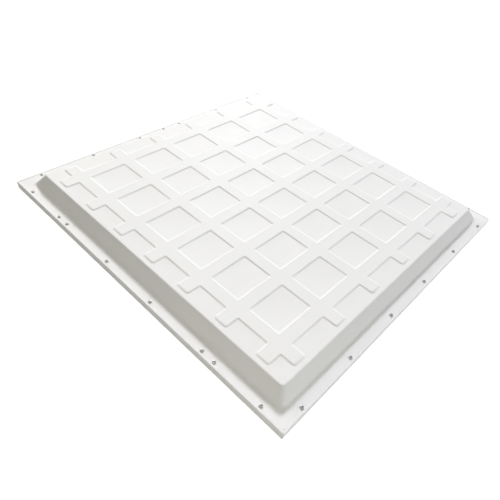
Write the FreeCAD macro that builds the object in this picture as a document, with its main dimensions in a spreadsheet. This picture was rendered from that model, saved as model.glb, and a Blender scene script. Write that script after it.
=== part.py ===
import FreeCAD, Part
import math
import os
import re
import Sketcher

# Lay-in LED ceiling panel, 595 mm square, lying as it does in its ceiling grid: the opal
# diffuser looks down and the pressed steel back looks up.
# Millimetres, +Z up. Origin: middle of the frame's underside. The front side is at -Y.

# Driving sizes: alias, value, meaning. Lengths are millimetres.
SIZES = (
    ("panel_side", 595.0, "outer side of the square frame"),
    ("frame_height", 12.0, "underside of the frame to the top of its outer lip"),
    ("lip_width", 3.3, "width of the lip that stands outside the back plate"),
    ("seat_depth", 1.0, "how far the plate's seat lies below the lip"),
    ("rail_width", 10.0, "width of the hollow box of a frame rail"),
    ("rail_wall", 1.2, "wall of the rail's hollow box"),
    ("bezel_width", 14.5, "width of the frame seen from below"),
    ("bezel_thickness", 1.2, "thickness of the flange under the diffuser"),
    ("fin_reach", 3.0, "how far the fin over the diffuser reaches in from the box"),
    ("fin_thickness", 1.0, "thickness of that fin"),
    ("groove_play", 0.2, "free height over the diffuser in its groove"),
    ("diffuser_thickness", 1.5, "opal sheet"),
    ("diffuser_play", 0.6, "gap between the diffuser's edge and the rail"),
    ("key_leg", 30.0, "length of each leg of a corner key"),
    ("key_play", 0.1, "gap between a corner key and the rail's hollow"),
    ("sheet_thickness", 0.5, "steel of the back plate"),
    ("plate_play", 0.2, "gap between the plate's edge and the lip"),
    ("plate_corner", 4.0, "plan radius of the plate's corners"),
    ("foot_inset", 19.0, "outside of the frame to the foot of the sloping wall"),
    ("wall_run", 15.2, "how far the sloping wall leans in"),
    ("deck_rise", 19.3, "height of the deck above the plate's flange"),
    ("deck_corner", 6.0, "plan radius of the deck's corners"),
    ("foot_corner", 10.0, "plan radius of the sloping wall's corners at its foot"),
    ("foot_radius", 6.0, "bend between flange and sloping wall"),
    ("deck_radius", 2.5, "bend between sloping wall and deck"),
    ("lattice_inset", 42.0, "edge of the deck to the middle of the outermost rib"),
    ("rib_margin", 8.0, "edge of the deck to the ends of the ribs"),
    ("rib_width", 21.6, "width of a raised rib at half its height"),
    ("rib_relief", 1.2, "how far the ribs stand above the deck"),
    ("rib_ramp", 1.2, "run of the slope along each side of a rib"),
    ("rib_corner", 4.5, "plan radius of the ends of the ribs"),
    ("board_width", 15.0, "LED strip"),
    ("board_thickness", 1.0, "LED strip"),
    ("board_margin", 8.0, "end of the rib to the end of its LED strip"),
    ("tape_width", 12.0, "adhesive tape under an LED strip"),
    ("tape_thickness", 0.2, "adhesive tape under an LED strip"),
    ("chip_side", 3.0, "LED"),
    ("chip_height", 0.7, "LED"),
    ("lens_radius", 6.5, "lens cap over an LED"),
    ("lens_height", 5.5, "lens cap over an LED"),
    ("lens_skirt", 2.0, "height of the lens's upright rim"),
    ("lens_dimple_radius", 1.6, "dip in the middle of the lens"),
    ("lens_dimple_depth", 0.8, "dip in the middle of the lens"),
    ("lens_bore", 3.4, "radius of the hollow over the LED"),
    ("lens_bore_height", 2.4, "height of the hollow over the LED"),
    ("connector_length", 9.0, "connector at each end of an LED strip"),
    ("connector_width", 6.0, "connector at each end of an LED strip"),
    ("connector_height", 4.5, "connector at each end of an LED strip"),
    ("connector_inset", 8.0, "end of the LED strip to the middle of its connector"),
    ("connector_bevel", 0.6, "plan radius of a connector's upright edges"),
    ("wire_radius", 0.6, "insulated wire between two LED strips"),
    ("wire_gap", 3.0, "spacing of the two wires in a connector"),
    ("wire_bow", 12.0, "sideways slack of the wires"),
    ("wire_lead", 9.0, "straight start of a wire out of its connector"),
    ("wire_clearance", 0.2, "gap between a wire and the reflector"),
    ("reflector_thickness", 0.3, "white film behind the LEDs"),
    ("reflector_margin", 4.0, "edge of the deck to the edge of the film"),
    ("reflector_play", 0.5, "gap around what passes through the film"),
    ("screw_inset", 6.5, "outside of the frame to the screws"),
    ("screw_end", 41.0, "end of a side to its first screw"),
    ("screw_middle", 50.0, "middle of a side to its innermost screws"),
    ("screw_third", 154.5, "middle of a side to its intermediate screws"),
    ("screw_pair", 22.5, "spacing of the close pairs on the front and back"),
    ("screw_odd", 9.0, "the single extra screw on the left side, from the middle"),
    ("screw_radius", 1.45, "shank"),
    ("screw_length", 6.5, "shank"),
    ("screw_point", 1.6, "length of the pointed tip"),
    ("head_radius", 2.6, "pan head"),
    ("head_height", 1.5, "pan head"),
    ("head_round", 0.9, "rounded rim of the pan head"),
    ("recess_span", 2.9, "length of each slot of the cross recess"),
    ("recess_width", 0.7, "width of each slot of the cross recess"),
    ("recess_depth", 0.9, "depth of the cross recess"),
    ("plate_hole_play", 0.3, "gap around a screw in the back plate"),
    ("thread_play", 0.05, "gap around a screw in the rail"),
    ("inlet_offset", 111.0, "middle of the back side to the cable inlet"),
    ("inlet_radius", 5.0, "hole for the grommet in the back wall"),
    ("grommet_bore", 2.6, "radius of the grommet's bore"),
    ("grommet_flange", 7.0, "radius of the grommet's outer flange"),
    ("grommet_barb", 6.2, "radius of the grommet's inner flange"),
    ("grommet_lip", 1.5, "thickness of each grommet flange"),
    ("grommet_play", 0.05, "gap around the grommet's neck"),
)
ALIASES = frozenset(alias for alias, _value, _note in SIZES)

RIBS_ACROSS = 7     # ribs that run front to back, side by side along X
RIBS_ALONG = 6      # ribs that run left to right; each one houses an LED strip
SIDES = ("front", "right", "back", "left")
QUARTER_TURN = 90.0
UP = FreeCAD.Vector(0, 0, 1)
TINY = 1e-6

# Derived sizes, as formulas of the aliases above.
HALF = "(panel_side / 2)"
SEAT = "(frame_height - seat_depth)"
BOX_INNER = f"({HALF} - rail_width)"
HOLLOW_TOP = f"({SEAT} - rail_wall)"
FIN_UNDER = "(bezel_thickness + diffuser_thickness + groove_play)"
DIFFUSER_HALF = f"({BOX_INNER} - diffuser_play)"
PLATE_HALF = f"({HALF} - lip_width - plate_play)"
PLATE_TOP = f"({SEAT} + sheet_thickness)"
FOOT_HALF = f"({HALF} - foot_inset)"
DECK_HALF = f"({FOOT_HALF} - wall_run)"
DECK = f"({PLATE_TOP} + deck_rise)"
DECK_UNDER = f"({DECK} - sheet_thickness)"
LATTICE_HALF = f"({DECK_HALF} - lattice_inset)"
RIB_HALF = f"({DECK_HALF} - rib_margin)"
RIB_ROOF = f"({DECK} + rib_relief - sheet_thickness)"
BOARD_HALF = f"({RIB_HALF} - board_margin)"
BOARD_FACE = f"({RIB_ROOF} - tape_thickness - board_thickness)"
REFLECTOR_TOP = f"min({DECK_UNDER}; {BOARD_FACE})"
REFLECTOR_UNDER = f"({REFLECTOR_TOP} - reflector_thickness)"
REFLECTOR_HALF = f"({DECK_HALF} - reflector_margin)"
CONNECTOR_X = f"({BOARD_HALF} - connector_inset)"
SCREW_LINE = f"({HALF} - screw_inset)"
WALL_LEAN = "atan(deck_rise / wall_run)"
# An inner face of bent sheet lies nearer the middle by this share of the sheet's thickness.
WALL_TUCK = "((sqrt(wall_run ^ 2 + deck_rise ^ 2) - wall_run) / deck_rise)"
RIB_TUCK = "((sqrt(rib_ramp ^ 2 + rib_relief ^ 2) - rib_ramp) / rib_relief)"

doc = FreeCAD.newDocument("LayInPanel")
sheet = doc.addObject("Spreadsheet::Sheet", "Sizes")
parts = []


def fill_sheet():
    """Writes the driving sizes into the spreadsheet."""
    for row, (alias, value, note) in enumerate(SIZES, start=1):
        sheet.set(f"A{row}", alias)
        sheet.set(f"B{row}", str(value))
        sheet.set(f"C{row}", note)
        sheet.setAlias(f"B{row}", alias)
    doc.recompute()


def formula(text):
    """The text with each alias written as a reference to the spreadsheet."""
    return re.sub(r"[a-z_]+", lambda word: cell(word.group()), text)


def cell(word):
    return f"Sizes.{word}" if word in ALIASES else word


def number(text):
    """The present value of a formula."""
    value = sheet.evalExpression(formula(text))
    return float(getattr(value, "Value", value))


def bind(target, **settings):
    """Binds properties to formulas; a double underscore in a name stands for a dot."""
    for name, text in settings.items():
        target.setExpression(name.replace("__", "."), formula(text))


def keep(label, target):
    """Names a finished sub-part and lists it for writing."""
    target.Label = label
    parts.append(target)
    return target


def place(target, x="0", y="0", z="0"):
    bind(target, Placement__Base__x=x, Placement__Base__y=y, Placement__Base__z=z)


# ---------------------------------------------------------------- sketches

def new_sketch(body, name, role="XY_Plane", height="0"):
    """A sketch on one of the body's own origin planes, lifted by height."""
    sketch = body.newObject("Sketcher::SketchObject", name)
    plane = next(item for item in body.Origin.OriginFeatures if item.Role == role)
    sketch.AttachmentSupport = [(plane, "")]
    sketch.MapMode = "FlatFace"
    bind(sketch, AttachmentOffset__Base__z=height)
    return sketch


def pinned(index, point, x, y):
    """Rules that tie a point of a sketch to formulas for its two coordinates."""
    rules = []
    for kind, text, axis in (("DistanceX", x, -2), ("DistanceY", y, -1)):
        value = number(text)
        if abs(value) < TINY:
            rules.append((Sketcher.Constraint("PointOnObject", index, point, axis), None))
        else:
            rules.append((Sketcher.Constraint(kind, -1, 1, index, point, value), text))
    return rules


def sized(index, radius):
    """A rule that ties the radius of an arc or circle to a formula."""
    return Sketcher.Constraint("Radius", index, number(radius)), radius


def constrain(sketch, rules):
    """Adds (constraint, formula or None) pairs to a sketch."""
    first = sketch.ConstraintCount
    sketch.addConstraint([constraint for constraint, _text in rules])
    for row, (_constraint, text) in enumerate(rules, start=first):
        if text is not None:
            sketch.setExpression(f"Constraints[{row}]", formula(text))


def polygons(sketch, outlines):
    """Closed outlines of straight lines, each a list of (x, y) formulas."""
    lines, rules = [], []
    first = sketch.GeometryCount
    for corners in outlines:
        points = [FreeCAD.Vector(number(x), number(y), 0) for x, y in corners]
        count = len(points)
        for step, (x, y) in enumerate(corners):
            following = (step + 1) % count
            index = first + len(lines) + step
            joint = Sketcher.Constraint("Coincident", index, 2, index - step + following, 1)
            rules.append((joint, None))
            rules += pinned(index, 1, x, y)
        lines += [Part.LineSegment(*ends) for ends in zip(points, points[1:] + points[:1])]
    sketch.addGeometry(lines)
    constrain(sketch, rules)


def circles(sketch, centres, radius):
    """Circles of one radius about (x, y) formulas."""
    first = sketch.GeometryCount
    size = number(radius)
    rules = []
    for index, (x, y) in enumerate(centres, start=first):
        rules += pinned(index, 3, x, y) + [sized(index, radius)]
    sketch.addGeometry([Part.Circle(FreeCAD.Vector(number(x), number(y), 0), UP, size)
                        for x, y in centres])
    constrain(sketch, rules)


def rounded_boxes(sketch, half_x, half_y, radius, centres=(("0", "0"),)):
    """Rectangles of one size with rounded corners, about (x, y) formulas."""
    quadrants = (("+", "+"), ("-", "+"), ("-", "-"), ("+", "-"))
    right_angle = math.pi / 2
    curves, rules = [], []
    first = sketch.GeometryCount
    for x, y in centres:
        start = first + len(curves)
        arcs = []
        for turn, (side_x, side_y) in enumerate(quadrants):
            at = (f"({x} {side_x} ({half_x} - {radius}))", f"({y} {side_y} ({half_y} - {radius}))")
            whole = Part.Circle(FreeCAD.Vector(number(at[0]), number(at[1]), 0), UP, number(radius))
            arcs.append(Part.ArcOfCircle(whole, turn * right_angle, (turn + 1) * right_angle))
            arc, line, following = start + turn, start + 4 + turn, start + (turn + 1) % 4
            rules.append((Sketcher.Constraint("Tangent", arc, 2, line, 1), None))
            rules.append((Sketcher.Constraint("Tangent", line, 2, following, 1), None))
            rules += pinned(arc, 3, *at) + [sized(arc, radius)]
        lines = [Part.LineSegment(arc.EndPoint, following.StartPoint)
                 for arc, following in zip(arcs, arcs[1:] + arcs[:1])]
        curves += arcs + lines
    sketch.addGeometry(curves)
    constrain(sketch, rules)


# ---------------------------------------------------------------- features

def new_body(name):
    return doc.addObject("PartDesign::Body", name)


def pad(body, sketch, length, taper=None):
    """Raises a sketch upwards, its walls leaning in by the taper formula, in degrees."""
    feature = body.newObject("PartDesign::Pad", "Pad")
    feature.Profile = sketch
    bind(feature, Length=length)
    if taper is not None:
        bind(feature, TaperAngle=f"-{taper}")
    return feature


def pocket(body, sketch, depth):
    """Cuts downwards from a sketch, and makes sure that it took material away."""
    doc.recompute()
    before = body.Shape.Volume
    feature = body.newObject("PartDesign::Pocket", "Pocket")
    feature.Profile = sketch
    bind(feature, Length=depth)
    doc.recompute()
    if body.Shape.Volume > before - TINY:
        raise ValueError(f"{sketch.Name} cut nothing")
    return feature


def loft(body, lower, upper):
    feature = body.newObject("PartDesign::AdditiveLoft", "Loft")
    feature.Profile = lower
    feature.Sections = [upper]
    feature.Ruled = True
    return feature


def fillet(body, base, radius, level, reach):
    """Rounds the edges of base that lie flat at a level, no further out than reach."""
    doc.recompute()
    height, limit = number(level), number(reach) + TINY
    names = []
    for index, edge in enumerate(base.Shape.Edges, start=1):
        box = edge.BoundBox
        flat = abs(box.ZMin - height) < TINY and abs(box.ZMax - height) < TINY
        if flat and max(-box.XMin, box.XMax, -box.YMin, box.YMax) <= limit:
            names.append(f"Edge{index}")
    feature = body.newObject("PartDesign::Fillet", "Fillet")
    feature.Base = (base, names)
    bind(feature, Radius=radius)
    return feature


def revolve(body, sketch):
    """Turns a sketch on the XZ plane once round the Z axis."""
    feature = body.newObject("PartDesign::Revolution", "Revolution")
    feature.Profile = sketch
    feature.ReferenceAxis = (sketch, ["V_Axis"])
    feature.Angle = 360
    return feature


def box(name, length, width, height, x, y, z):
    """A block centred on x and y that stands on z."""
    block = doc.addObject("Part::Box", name)
    bind(block, Length=length, Width=width, Height=height)
    place(block, f"{x} - {length} / 2", f"{y} - {width} / 2", z)
    return block


def group(label, master, places):
    """Copies of one piece at (x, y, z) formulas, as separate solids of one node."""
    copies = []
    for at in places:
        copy = doc.addObject("App::Link", "Copy")
        copy.LinkedObject = master
        copy.LinkTransform = True
        place(copy, *at)
        copies.append(copy)
    bundle = doc.addObject("Part::Compound", "Group")
    bundle.Links = copies
    return keep(label, bundle)


# ---------------------------------------------------------------- layout

def both(*places):
    """Each place and its mirror image about the middle."""
    return [f"{sign} {at}" for at in places for sign in ("0 -", "0 +")]


def screw_row(side):
    """Where the screws of a side stand along it, seen from outside that side."""
    end = f"({HALF} - screw_end)"
    row = both("screw_middle", "screw_third", end)
    if side in ("front", "back"):
        row += both("(screw_third + screw_pair)")
    if side == "left":
        row.append("0 - screw_odd")
    return row


def on_side(side, along, across):
    """Plan coordinates of a point of a side, from its place along and out from the middle."""
    return {
        "front": (f"({along})", f"-{across}"),
        "right": (across, f"({along})"),
        "back": (f"-({along})", across),
        "left": (f"-{across}", f"-({along})"),
    }[side]


def rib_places(count):
    """Where the middles of count ribs lie, evenly spaced over the lattice."""
    return [f"({LATTICE_HALF} * {2 * step - count + 1} / {count - 1})" for step in range(count)]


# ---------------------------------------------------------------- frame

def frame_rail(side):
    """One mitred aluminium rail: a hollow box with bezel, diffuser fin and outer lip."""
    body = new_body(f"Rail_{side}")
    profile = new_sketch(body, "RailProfile", "YZ_Plane")
    outline = (
        (HALF, "0"),
        (f"({HALF} - bezel_width)", "0"),
        (f"({HALF} - bezel_width)", "bezel_thickness"),
        (BOX_INNER, "bezel_thickness"),
        (BOX_INNER, FIN_UNDER),
        (f"({BOX_INNER} - fin_reach)", FIN_UNDER),
        (f"({BOX_INNER} - fin_reach)", f"({FIN_UNDER} + fin_thickness)"),
        (BOX_INNER, f"({FIN_UNDER} + fin_thickness)"),
        (BOX_INNER, SEAT),
        (f"({HALF} - lip_width)", SEAT),
        (f"({HALF} - lip_width)", "frame_height"),
        (HALF, "frame_height"),
    )
    hollow = (
        (f"({HALF} - rail_wall)", "bezel_thickness"),
        (f"({BOX_INNER} + rail_wall)", "bezel_thickness"),
        (f"({BOX_INNER} + rail_wall)", HOLLOW_TOP),
        (f"({HALF} - rail_wall)", HOLLOW_TOP),
    )
    polygons(profile, [[(f"-{across}", z) for across, z in corners]
                       for corners in (outline, hollow)])
    length = pad(body, profile, "panel_side")
    length.Midplane = True
    mitre = new_sketch(body, "Mitre", height="frame_height")
    inner = f"({HALF} - bezel_width)"
    polygons(mitre, [[(f"{sign}{HALF}", f"-{HALF}"), (f"{sign}{inner}", f"-{inner}"),
                      (f"{sign}{HALF}", f"-{inner}")] for sign in ("", "-")])
    pocket(body, mitre, "frame_height")
    holes = new_sketch(body, "ThreadHoles", height=SEAT)
    circles(holes, [(f"({along})", f"-{SCREW_LINE}") for along in screw_row(side)],
            "(screw_radius + thread_play)")
    pocket(body, holes, "rail_wall")
    body.Placement.Rotation = FreeCAD.Rotation(UP, QUARTER_TURN * SIDES.index(side))
    keep(f"frame_rail_{side}", body)


def corner_key(side, following):
    """An L-shaped key that joins two rails inside their hollows."""
    body = new_body(f"Key_{side}")
    outline = new_sketch(body, "KeyOutline", height="(bezel_thickness + key_play)")
    outer = f"({HALF} - rail_wall - key_play)"
    inner = f"({BOX_INNER} + rail_wall + key_play)"
    end = f"({outer} - key_leg)"
    polygons(outline, [[(end, f"-{outer}"), (outer, f"-{outer}"), (outer, f"-{end}"),
                        (inner, f"-{end}"), (inner, f"-{inner}"), (end, f"-{inner}")]])
    pad(body, outline, f"({HOLLOW_TOP} - bezel_thickness - 2 * key_play)")
    body.Placement.Rotation = FreeCAD.Rotation(UP, QUARTER_TURN * SIDES.index(side))
    keep(f"corner_key_{side}_{following}", body)


def diffuser():
    """The opal sheet that lies on the bezel."""
    side = f"(2 * {DIFFUSER_HALF})"
    keep("diffuser", box("Diffuser", side, side, "diffuser_thickness",
                         "0", "0", "bezel_thickness"))


# ---------------------------------------------------------------- back plate

def pressed_form(name, drop):
    """The pressed shape of the plate, as a solid under its surface, lowered by drop."""
    body = new_body(name)
    tuck, rib_tuck = f"{WALL_TUCK} * {drop}", f"{RIB_TUCK} * {drop}"
    foot = f"({FOOT_HALF} - {tuck})"
    deck = f"({DECK_HALF} - {tuck})"
    corner = f"(deck_corner - {tuck})"
    flange = new_sketch(body, "Flange", height=f"{SEAT} - {drop}")
    rounded_boxes(flange, PLATE_HALF, PLATE_HALF, "plate_corner")
    pad(body, flange, "sheet_thickness")
    lower = new_sketch(body, "WallFoot", height=f"{PLATE_TOP} - {drop}")
    rounded_boxes(lower, foot, foot, f"(foot_corner - {tuck})")
    upper = new_sketch(body, "WallHead", height=f"{DECK} - {drop}")
    rounded_boxes(upper, deck, deck, corner)
    dome = loft(body, lower, upper)
    bend = fillet(body, dome, f"foot_radius + {drop}", f"{PLATE_TOP} - {drop}", foot)
    fillet(body, bend, f"deck_radius - {drop}", f"{DECK} - {drop}", deck)
    across = f"(rib_width / 2 + rib_ramp / 2 - {rib_tuck})"
    along = f"({RIB_HALF} + rib_ramp / 2 - {rib_tuck})"
    first_rib(body, "RibAcross", across, along, drop, x=rib_places(RIBS_ACROSS)[0])
    repeat(body, "H_Axis", RIBS_ACROSS)
    first_rib(body, "RibAlong", along, across, drop, y=rib_places(RIBS_ALONG)[0])
    repeat(body, "V_Axis", RIBS_ALONG)
    return body


def first_rib(body, name, half_x, half_y, drop, x="0", y="0"):
    """The outermost rib of one direction, raised off the deck with sloping sides."""
    outline = new_sketch(body, name, height=f"{DECK} - {drop}")
    rounded_boxes(outline, half_x, half_y, "rib_corner", [(x, y)])
    pad(body, outline, "rib_relief", taper="atan(rib_ramp / rib_relief)")


def repeat(body, axis, count):
    """Repeats the body's last feature along an axis of its sketch, over the lattice."""
    source = body.Tip
    pattern = body.newObject("PartDesign::LinearPattern", "Ribs")
    pattern.Originals = [source]
    pattern.Direction = (source.Profile[0], [axis])
    bind(pattern, Length=f"2 * {LATTICE_HALF}")
    pattern.Occurrences = count
    body.Tip = pattern


def on_back_wall(target, distance="0"):
    """Stands a piece on the outside of the back wall, square to it and out by distance."""
    target.Placement.Rotation = FreeCAD.Rotation(FreeCAD.Vector(-1, 0, 0), number(WALL_LEAN))
    bind(target, Placement__Rotation__Angle=WALL_LEAN)
    place(target, "inlet_offset",
          f"{FOOT_HALF} - wall_run / 2 + ({distance}) * sin({WALL_LEAN})",
          f"{PLATE_TOP} + deck_rise / 2 + ({distance}) * cos({WALL_LEAN})")


def back_plate():
    """The pressed steel back: flange, sloping walls, deck and lattice of raised ribs."""
    outside = pressed_form("PlateOutside", "0")
    holes = new_sketch(outside, "ScrewHoles", height=PLATE_TOP)
    centres = [on_side(side, along, SCREW_LINE) for side in SIDES for along in screw_row(side)]
    circles(holes, centres, "(screw_radius + plate_hole_play)")
    pocket(outside, holes, "sheet_thickness")
    shell = doc.addObject("Part::Cut", "PlateShell")
    shell.Base = outside
    shell.Tool = pressed_form("PlateInside", "sheet_thickness")
    inlet = doc.addObject("Part::Cylinder", "InletHole")
    bind(inlet, Radius="inlet_radius", Height="grommet_lip * 2 + sheet_thickness")
    on_back_wall(inlet, "0 - grommet_lip - sheet_thickness")
    plate = doc.addObject("Part::Cut", "Plate")
    plate.Base = shell
    plate.Tool = inlet
    keep("back_plate", plate)


def cable_grommet():
    """The rubber ring that lines the cable inlet, its neck held in the plate."""
    body = new_body("Grommet")
    profile = new_sketch(body, "GrommetProfile", "XZ_Plane")
    neck = "(inlet_radius - grommet_play)"
    inside = "(sheet_thickness + grommet_lip)"
    polygons(profile, [[("grommet_bore", f"-{inside}"), ("grommet_barb", f"-{inside}"),
                        ("grommet_barb", "-sheet_thickness"), (neck, "-sheet_thickness"),
                        (neck, "0"), ("grommet_flange", "0"),
                        ("grommet_flange", "grommet_lip"), ("grommet_bore", "grommet_lip")]])
    revolve(body, profile)
    on_back_wall(body)
    keep("cable_grommet", body)


# ---------------------------------------------------------------- light engine

def led_chip():
    return box("Chip", "chip_side", "chip_side", "chip_height", "0", "0", "0")


def led_lens():
    """A dome over an LED, dipped in the middle, its rim on the strip; it points down."""
    body = new_body("Lens")
    profile = new_sketch(body, "LensProfile", "XZ_Plane")
    shoulder = "(lens_dimple_radius + lens_radius) / 2"
    polygons(profile, [[("lens_bore", "0"), ("lens_radius", "0"),
                        ("lens_radius", "-lens_skirt"),
                        (shoulder, "-(lens_height + lens_skirt) / 2 - lens_dimple_depth"),
                        ("lens_dimple_radius", "-lens_height"),
                        ("0", "-(lens_height - lens_dimple_depth)"),
                        ("0", "-lens_bore_height"),
                        ("lens_bore / 2", "-lens_bore_height")]])
    revolve(body, profile)
    return body


def connector():
    """A connector housing that hangs under the end of an LED strip."""
    body = new_body("Connector")
    outline = new_sketch(body, "ConnectorOutline", height="-connector_height")
    rounded_boxes(outline, "connector_length / 2", "connector_width / 2", "connector_bevel")
    pad(body, outline, "connector_height")
    return body


def light_engine():
    """Six LED strips on tape in the ribs, each with its LEDs, lenses and connectors."""
    chip, lens, plug = led_chip(), led_lens(), connector()
    stations = rib_places(RIBS_ACROSS)
    for name, y in enumerate(rib_places(RIBS_ALONG), start=1):
        keep(f"thermal_tape_{name}",
             box("Tape", f"(2 * {BOARD_HALF})", "tape_width", "tape_thickness",
                 "0", y, f"({RIB_ROOF} - tape_thickness)"))
        keep(f"led_board_{name}",
             box("Board", f"(2 * {BOARD_HALF})", "board_width", "board_thickness",
                 "0", y, BOARD_FACE))
        group(f"led_chips_{name}", chip,
              [(x, y, f"({BOARD_FACE} - chip_height)") for x in stations])
        group(f"led_lenses_{name}", lens, [(x, y, BOARD_FACE) for x in stations])
        group(f"board_connectors_{name}", plug,
              [(f"{sign}{CONNECTOR_X}", y, BOARD_FACE) for sign in ("-", "")])


def reflector():
    """White film glued under the deck, pierced for the lenses and connectors."""
    body = new_body("Reflector")
    film = new_sketch(body, "Film", height=REFLECTOR_UNDER)
    rounded_boxes(film, REFLECTOR_HALF, REFLECTOR_HALF, "plate_corner")
    pad(body, film, "reflector_thickness")
    holes = new_sketch(body, "LensHoles", height=REFLECTOR_TOP)
    rows = rib_places(RIBS_ALONG)
    circles(holes, [(x, y) for y in rows for x in rib_places(RIBS_ACROSS)],
            "(lens_radius + reflector_play)")
    pocket(body, holes, "reflector_thickness")
    slots = new_sketch(body, "ConnectorSlots", height=REFLECTOR_TOP)
    half_x = "(connector_length / 2 + reflector_play)"
    half_y = "(connector_width / 2 + reflector_play)"
    polygons(slots, [[(f"({x} {side_x} {half_x})", f"({y} {side_y} {half_y})")
                      for side_x, side_y in ("--", "+-", "++", "-+")]
                     for y in rows for x in (f"-{CONNECTOR_X}", CONNECTOR_X)])
    pocket(body, slots, "reflector_thickness")
    keep("reflector_film", body)


def tube(points, radius):
    """A round wire along straight runs that are joined by tangent arcs."""
    edges = []
    start = points[0]
    for before, corner, after in zip(points, points[1:], points[2:]):
        back, ahead = before - corner, after - corner
        half_turn = (math.pi - back.getAngle(ahead)) / 2
        reach = 0.45 * min(back.Length, ahead.Length)
        bend = reach / math.tan(half_turn)
        back.normalize()
        ahead.normalize()
        middle = back + ahead
        middle.normalize()
        centre_gap = math.hypot(bend, reach)
        enter, leave = corner + back * reach, corner + ahead * reach
        crown = corner + middle * (centre_gap - bend)
        edges.append(Part.LineSegment(start, enter).toShape())
        edges.append(Part.Arc(enter, crown, leave).toShape())
        start = leave
    edges.append(Part.LineSegment(start, points[-1]).toShape())
    path = Part.Wire(edges)
    section = Part.Wire(Part.Circle(points[0], points[1] - points[0], radius).toShape())
    wire = path.makePipeShell([section], True, False)
    expected = math.pi * radius ** 2 * path.Length
    if abs(wire.Volume - expected) > 0.01 * expected:
        raise ValueError("a wire's volume doesn't match its length")
    return wire


def jumper(row):
    """The pair of wires that carries on from one LED strip to the next."""
    side = 1 if row % 2 else -1
    rows = rib_places(RIBS_ALONG)
    first = number(rows[row]) + number("connector_width") / 2
    last = number(rows[row + 1]) - number("connector_width") / 2
    radius = number("wire_radius")
    z = number(REFLECTOR_UNDER) - number("wire_clearance") - radius
    wires = []
    for offset in (-0.5, 0.5):
        x = side * number(CONNECTOR_X) + offset * number("wire_gap")
        bow = x - side * number("wire_bow")
        lead = number("wire_lead")
        quarter = (last - first) / 4
        plan = ((x, first), (x, first + lead), (bow, first + quarter + lead / 2),
                (bow, last - quarter - lead / 2), (x, last - lead), (x, last))
        wires.append(tube([FreeCAD.Vector(at, y, z) for at, y in plan], radius))
    pair = doc.addObject("Part::Feature", "Jumper")
    pair.Shape = Part.Compound(wires)
    keep(f"jumper_wires_{row + 1}", pair)


# ---------------------------------------------------------------- screws

def pan_screw():
    """A pan-head screw with a cross recess; the head's underside is at its origin."""
    body = new_body("Screw")
    profile = new_sketch(body, "ScrewProfile", "XZ_Plane")
    polygons(profile, [[("0", "-screw_length"),
                        ("screw_radius", "-(screw_length - screw_point)"),
                        ("screw_radius", "0"), ("head_radius", "0"),
                        ("head_radius", "head_height"), ("0", "head_height")]])
    turned = revolve(body, profile)
    fillet(body, turned, "head_round", "head_height", "head_radius")
    cross = new_sketch(body, "CrossRecess", height="head_height")
    arm, waist = "(recess_span / 2)", "(recess_width / 2)"
    quarter = ((arm, waist), (waist, waist), (waist, arm))
    polygons(cross, [[(x, y) for x, y in quarter]
                     + [(f"-{x}", y) for x, y in reversed(quarter)]
                     + [(f"-{x}", f"-{y}") for x, y in quarter]
                     + [(x, f"-{y}") for x, y in reversed(quarter)]])
    pocket(body, cross, "recess_depth")
    return body


def screws():
    """One group of screws for each side, through the flange into the rail."""
    master = pan_screw()
    for side in SIDES:
        places = [(*on_side(side, along, SCREW_LINE), PLATE_TOP) for along in screw_row(side)]
        group(f"screws_{side}", master, places)


# ---------------------------------------------------------------- build

def build():
    fill_sheet()
    for turn, side in enumerate(SIDES):
        frame_rail(side)
        corner_key(side, SIDES[(turn + 1) % len(SIDES)])
    diffuser()
    back_plate()
    cable_grommet()
    light_engine()
    reflector()
    for row in range(RIBS_ALONG - 1):
        jumper(row)
    screws()
    doc.recompute()


def check():
    """Stops if any object failed or any sub-part has no sound shape."""
    for item in doc.Objects:
        if "Invalid" in item.State or "Error" in item.State:
            raise ValueError(f"{item.Name} ({item.Label}) failed: {item.State}")
    for part in parts:
        if part.Shape.isNull() or not part.Shape.isValid() or not part.Shape.Solids:
            raise ValueError(f"{part.Label} has no sound solid")


def write():
    os.makedirs("parts", exist_ok=True)
    for part in parts:
        part.Shape.exportStep(f"parts/{part.Label}.step")
        print(f"{part.Label}: {len(part.Shape.Solids)} solids, {part.Shape.Volume:.1f} mm3")


build()
check()
write()
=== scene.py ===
import math

import bmesh
import bpy
import numpy as np
from mathutils import Matrix, Vector
from mathutils.geometry import tessellate_polygon


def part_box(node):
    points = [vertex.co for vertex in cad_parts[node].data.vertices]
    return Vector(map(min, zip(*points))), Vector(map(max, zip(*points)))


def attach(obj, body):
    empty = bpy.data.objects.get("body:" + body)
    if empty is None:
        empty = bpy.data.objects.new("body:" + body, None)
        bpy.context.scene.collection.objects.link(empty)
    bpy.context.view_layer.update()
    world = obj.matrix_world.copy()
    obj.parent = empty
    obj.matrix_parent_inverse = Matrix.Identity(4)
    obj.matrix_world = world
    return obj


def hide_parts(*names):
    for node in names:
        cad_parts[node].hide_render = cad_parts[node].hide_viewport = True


bl_info = {
    "name": "Lay-in LED panel",
    "version": (1, 0, 0),
    "blender": (4, 5, 0),
    "location": "3D View > Sidebar > LED panel",
    "description": "Dresses a square lay-in LED ceiling panel and sets up its studio",
    "category": "Add Mesh",
}

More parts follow.
